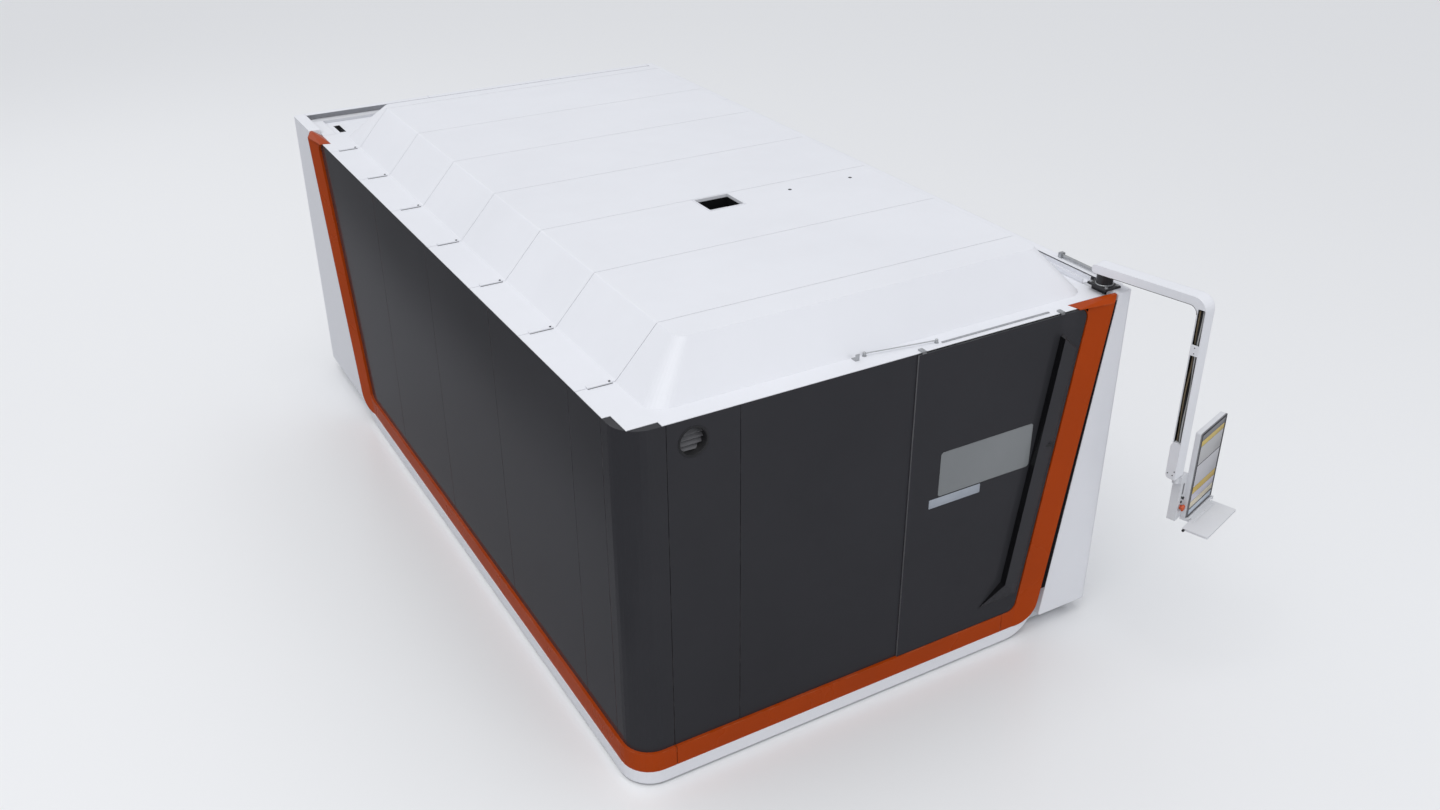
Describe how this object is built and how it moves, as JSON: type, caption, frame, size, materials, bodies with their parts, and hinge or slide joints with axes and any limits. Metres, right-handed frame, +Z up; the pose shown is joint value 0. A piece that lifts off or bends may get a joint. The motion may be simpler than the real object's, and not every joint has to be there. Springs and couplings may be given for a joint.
{
  "type": "enclosed fiber laser cutting machine",
  "caption": "Enclosed fiber laser sheet cutter with dark panels, slanted orange trim, white hood roof, sliding doors, gantry and swing-arm touch console",
  "frame": {"origin": "the middle of the base on the floor, under the middle levelling foot", "axes": "+X to the white operator side, +Y along the machine to its far end, +Z up"},
  "size_m": [3.563, 6.326, 2.358],
  "materials": {
    "dark_panel": "gloss near-black paint",
    "orange_trim": "satin dark orange paint",
    "white_shell": "satin white paint",
    "frame_paint": "satin white paint on frame tubes",
    "bare_steel": "machined steel",
    "slat_steel": "dark scorched steel",
    "alloy": "anodised aluminium",
    "window": "grey green laser safety pane",
    "screen": "pale touch screen",
    "black_rubber": "matt black rubber",
    "black_plastic": "matt black plastic",
    "console_plastic": "fine grained off-white plastic",
    "stop_orange": "orange-red button cap"
  },
  "bodies": {
    "machine": {"levelling_feet": "black_rubber", "base_frame": "frame_paint", "wall_posts": "frame_paint", "top_rails": "frame_paint", "plinth": "white_shell", "side_band": "orange_trim", "side_strip": "orange_trim", "end_band": "orange_trim", "end_strip": "orange_trim", "corner_panel": "dark_panel", "side_panel_1": "dark_panel", "side_panel_2": "dark_panel", "side_panel_3": "dark_panel", "side_panel_4": "dark_panel", "side_panel_5": "dark_panel", "end_panel_1": "dark_panel", "end_panel_2": "dark_panel", "vent_grille": "black_plastic", "near_pillar": "white_shell", "far_pillar": "white_shell", "far_panels": "white_shell", "right_panels": "white_shell", "roof_near_cap": "white_shell", "roof_panels": "white_shell", "roof_hatch_panel": "white_shell", "roof_far_cap": "white_shell", "roof_joint_tabs": "white_shell", "hatch_collar": "white_shell", "far_tray": "frame_paint", "cable_trunk": "frame_paint", "end_door_rail": "bare_steel", "operator_rail": "alloy", "electrical_cabinet": "frame_paint", "laser_source": "alloy", "bay_wall": "frame_paint", "chiller": "frame_paint", "arm_base": "black_plastic", "arm_stay": "bare_steel", "bed_beams": "frame_paint", "guide_rails": "bare_steel", "table_rails": "slat_steel", "support_slats": "slat_steel"},
    "end_door": {"end_door": "dark_panel", "end_door_window": "window", "end_door_pull": "dark_panel", "end_door_shoes": "bare_steel"},
    "operator_door": {"operator_door": "white_shell", "operator_window": "window"},
    "cabinet_door": {"cabinet_door": "white_shell"},
    "arm": {"swing_arm": "white_shell", "arm_cables": "black_rubber"},
    "console": {"console_housing": "console_plastic", "console_screen": "screen"},
    "tray": {"keyboard_tray": "console_plastic"},
    "stop_button": {"stop_button": "stop_orange"},
    "start_button": {"start_button": "black_plastic"},
    "gantry": {"gantry_beam": "alloy", "beam_cover": "black_rubber"},
    "carriage": {"head_carriage": "alloy"},
    "cutting_head": {"cutting_head": "bare_steel"}
  },
  "joints": [
    {"name": "end_door_slide", "type": "slide", "parent": "machine", "child": "end_door", "axis": [-1, 0, 0], "range_m": [0, 1]},
    {"name": "operator_door_slide", "type": "slide", "parent": "machine", "child": "operator_door", "axis": [0, 1, 0], "range_m": [0, 1.25]},
    {"name": "cabinet_door_hinge", "type": "hinge", "parent": "machine", "child": "cabinet_door", "pos_m": [1.533, 2.29, 1.1], "axis": [0, 0, 1], "range_deg": [0, 110]},
    {"name": "arm_swing", "type": "hinge", "parent": "machine", "child": "arm", "pos_m": [1.42, -2.715, 2.212], "axis": [0, 0, 1], "range_deg": [-20, 75]},
    {"name": "console_swivel", "type": "hinge", "parent": "arm", "child": "console", "pos_m": [1.57416, -3.28493, 1.195], "axis": [0, 0, 1], "range_deg": [-60, 60]},
    {"name": "tray_fold", "type": "hinge", "parent": "console", "child": "tray", "pos_m": [1.82796, -3.28132, 0.89], "axis": [-0.9511, -0.309, 0], "range_deg": [0, 85]},
    {"name": "stop_press", "type": "slide", "parent": "console", "child": "stop_button", "axis": [-0.309, 0.9511, 0], "range_m": [0, 0.006], "stiffness_N_per_m": 800, "springref_m": -0.004},
    {"name": "start_press", "type": "slide", "parent": "console", "child": "start_button", "axis": [-0.309, 0.9511, 0], "range_m": [0, 0.003], "stiffness_N_per_m": 400, "springref_m": -0.003},
    {"name": "gantry_slide", "type": "slide", "parent": "machine", "child": "gantry", "axis": [0, 1, 0], "range_m": [-0.15, 3.05]},
    {"name": "head_slide", "type": "slide", "parent": "gantry", "child": "carriage", "axis": [1, 0, 0], "range_m": [-0.75, 0.75]},
    {"name": "head_height", "type": "slide", "parent": "carriage", "child": "cutting_head", "axis": [0, 0, 1], "range_m": [-0.025, 0.1]}
  ]
}
